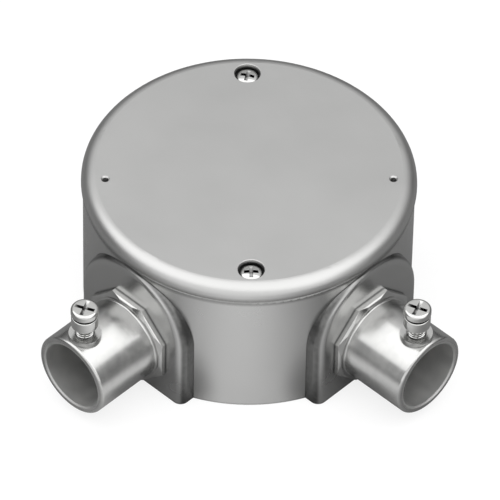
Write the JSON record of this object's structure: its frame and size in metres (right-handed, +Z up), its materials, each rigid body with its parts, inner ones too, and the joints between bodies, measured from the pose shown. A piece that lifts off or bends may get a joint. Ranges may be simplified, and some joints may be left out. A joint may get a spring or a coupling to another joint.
{
  "type": "two-way round conduit box",
  "caption": "Round metal conduit box with a screwed-on rounded cover and threadless hubs at a right angle, each with a break-off set screw, for joining thin-wall conduit.",
  "frame": {"origin": "middle of the box's round back face", "axes": "+Z up through the cover, +X along one hub out of its mouth, -Y along the other hub out of its mouth"},
  "size_m": [0.1115, 0.1115, 0.044],
  "materials": {
    "cast_body": "satin, as cast",
    "cast_cover": "satin",
    "plated_hub": "bright zinc plated",
    "plated_screw": "bright zinc plated"
  },
  "bodies": {
    "box": {"box_body": "cast_body", "right_hub": "plated_hub", "front_hub": "plated_hub", "earth_washer": "plated_screw"},
    "cover": {"cover": "cast_cover"},
    "cover_screw_front": {"cover_screw_front": "plated_screw"},
    "cover_screw_rear": {"cover_screw_rear": "plated_screw"},
    "right_set_screw": {"right_set_screw": "plated_screw"},
    "front_set_screw": {"front_set_screw": "plated_screw"},
    "earth_screw": {"earth_screw": "plated_screw"}
  },
  "joints": [
    {"name": "cover_lift", "type": "slide", "parent": "box", "child": "cover", "axis": [0, 0, 1], "range_m": [0, 0.06]},
    {"name": "cover_screw_front_out", "type": "slide", "parent": "cover", "child": "cover_screw_front", "axis": [0, 0, 1], "range_m": [0, 0.012]},
    {"name": "cover_screw_rear_out", "type": "slide", "parent": "cover", "child": "cover_screw_rear", "axis": [0, 0, 1], "range_m": [0, 0.012]},
    {"name": "right_set_screw_in", "type": "slide", "parent": "box", "child": "right_set_screw", "axis": [0, 0, -1], "range_m": [-0.0025, 0.0028]},
    {"name": "front_set_screw_in", "type": "slide", "parent": "box", "child": "front_set_screw", "axis": [0, 0, -1], "range_m": [-0.0025, 0.0028]},
    {"name": "earth_screw_out", "type": "slide", "parent": "box", "child": "earth_screw", "axis": [0, 0, 1], "range_m": [0, 0.005]}
  ]
}
